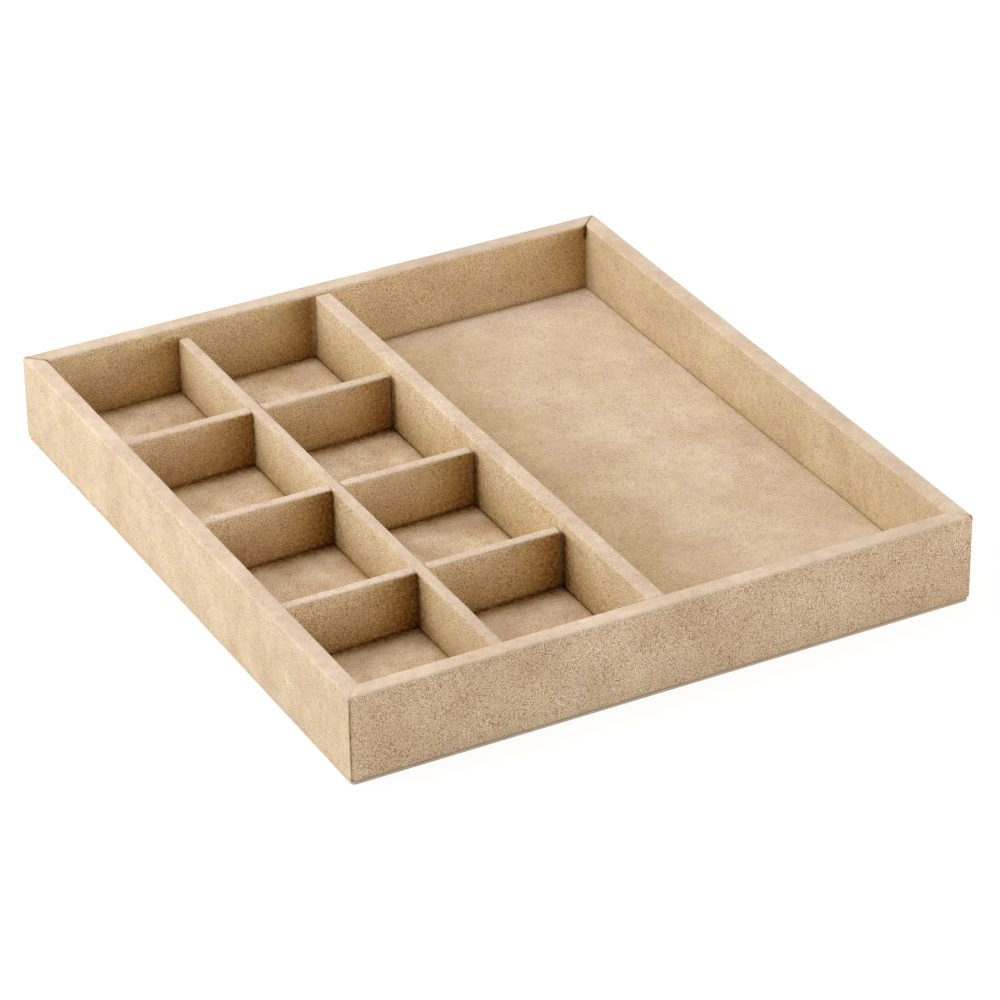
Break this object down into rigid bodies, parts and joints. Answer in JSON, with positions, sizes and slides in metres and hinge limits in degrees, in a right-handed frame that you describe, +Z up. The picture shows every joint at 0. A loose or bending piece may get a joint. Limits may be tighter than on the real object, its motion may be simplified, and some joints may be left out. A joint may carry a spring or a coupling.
{
  "type": "jewelry tray",
  "caption": "Shallow rectangular jewelry tray covered in sandy suede, with two columns of small compartments beside one large open compartment.",
  "frame": {"origin": "middle of the underside, on the surface that the tray stands on", "axes": "+X runs along the front wall from the small compartments to the large one, +Y from the front wall to the back wall, +Z up"},
  "size_m": [0.283, 0.317, 0.04],
  "materials": {
    "wall_suede": "matt microsuede",
    "divider_suede": "matt microsuede",
    "floor_suede": "matt microsuede",
    "cover_board": "matt paper-faced board",
    "fibreboard": "raw fibreboard",
    "greyboard": "raw greyboard"
  },
  "bodies": {
    "root": {"back_wall_core": "fibreboard", "back_wall_wrap": "wall_suede", "base_panel": "fibreboard", "bottom_cover": "cover_board", "centre_divider_core": "greyboard", "centre_divider_wrap": "divider_suede", "cross_divider_core_1": "greyboard", "cross_divider_core_2": "greyboard", "cross_divider_core_3": "greyboard", "cross_divider_wrap_1": "divider_suede", "cross_divider_wrap_2": "divider_suede", "cross_divider_wrap_3": "divider_suede", "front_wall_core": "fibreboard", "front_wall_wrap": "wall_suede", "large_side_floor_board": "greyboard", "large_side_floor_suede": "floor_suede", "left_wall_core": "fibreboard", "left_wall_wrap": "wall_suede", "main_divider_core": "fibreboard", "main_divider_wrap": "divider_suede", "right_wall_core": "fibreboard", "right_wall_wrap": "wall_suede", "small_side_floor_board": "greyboard", "small_side_floor_suede": "floor_suede"}
  },
  "joints": []
}
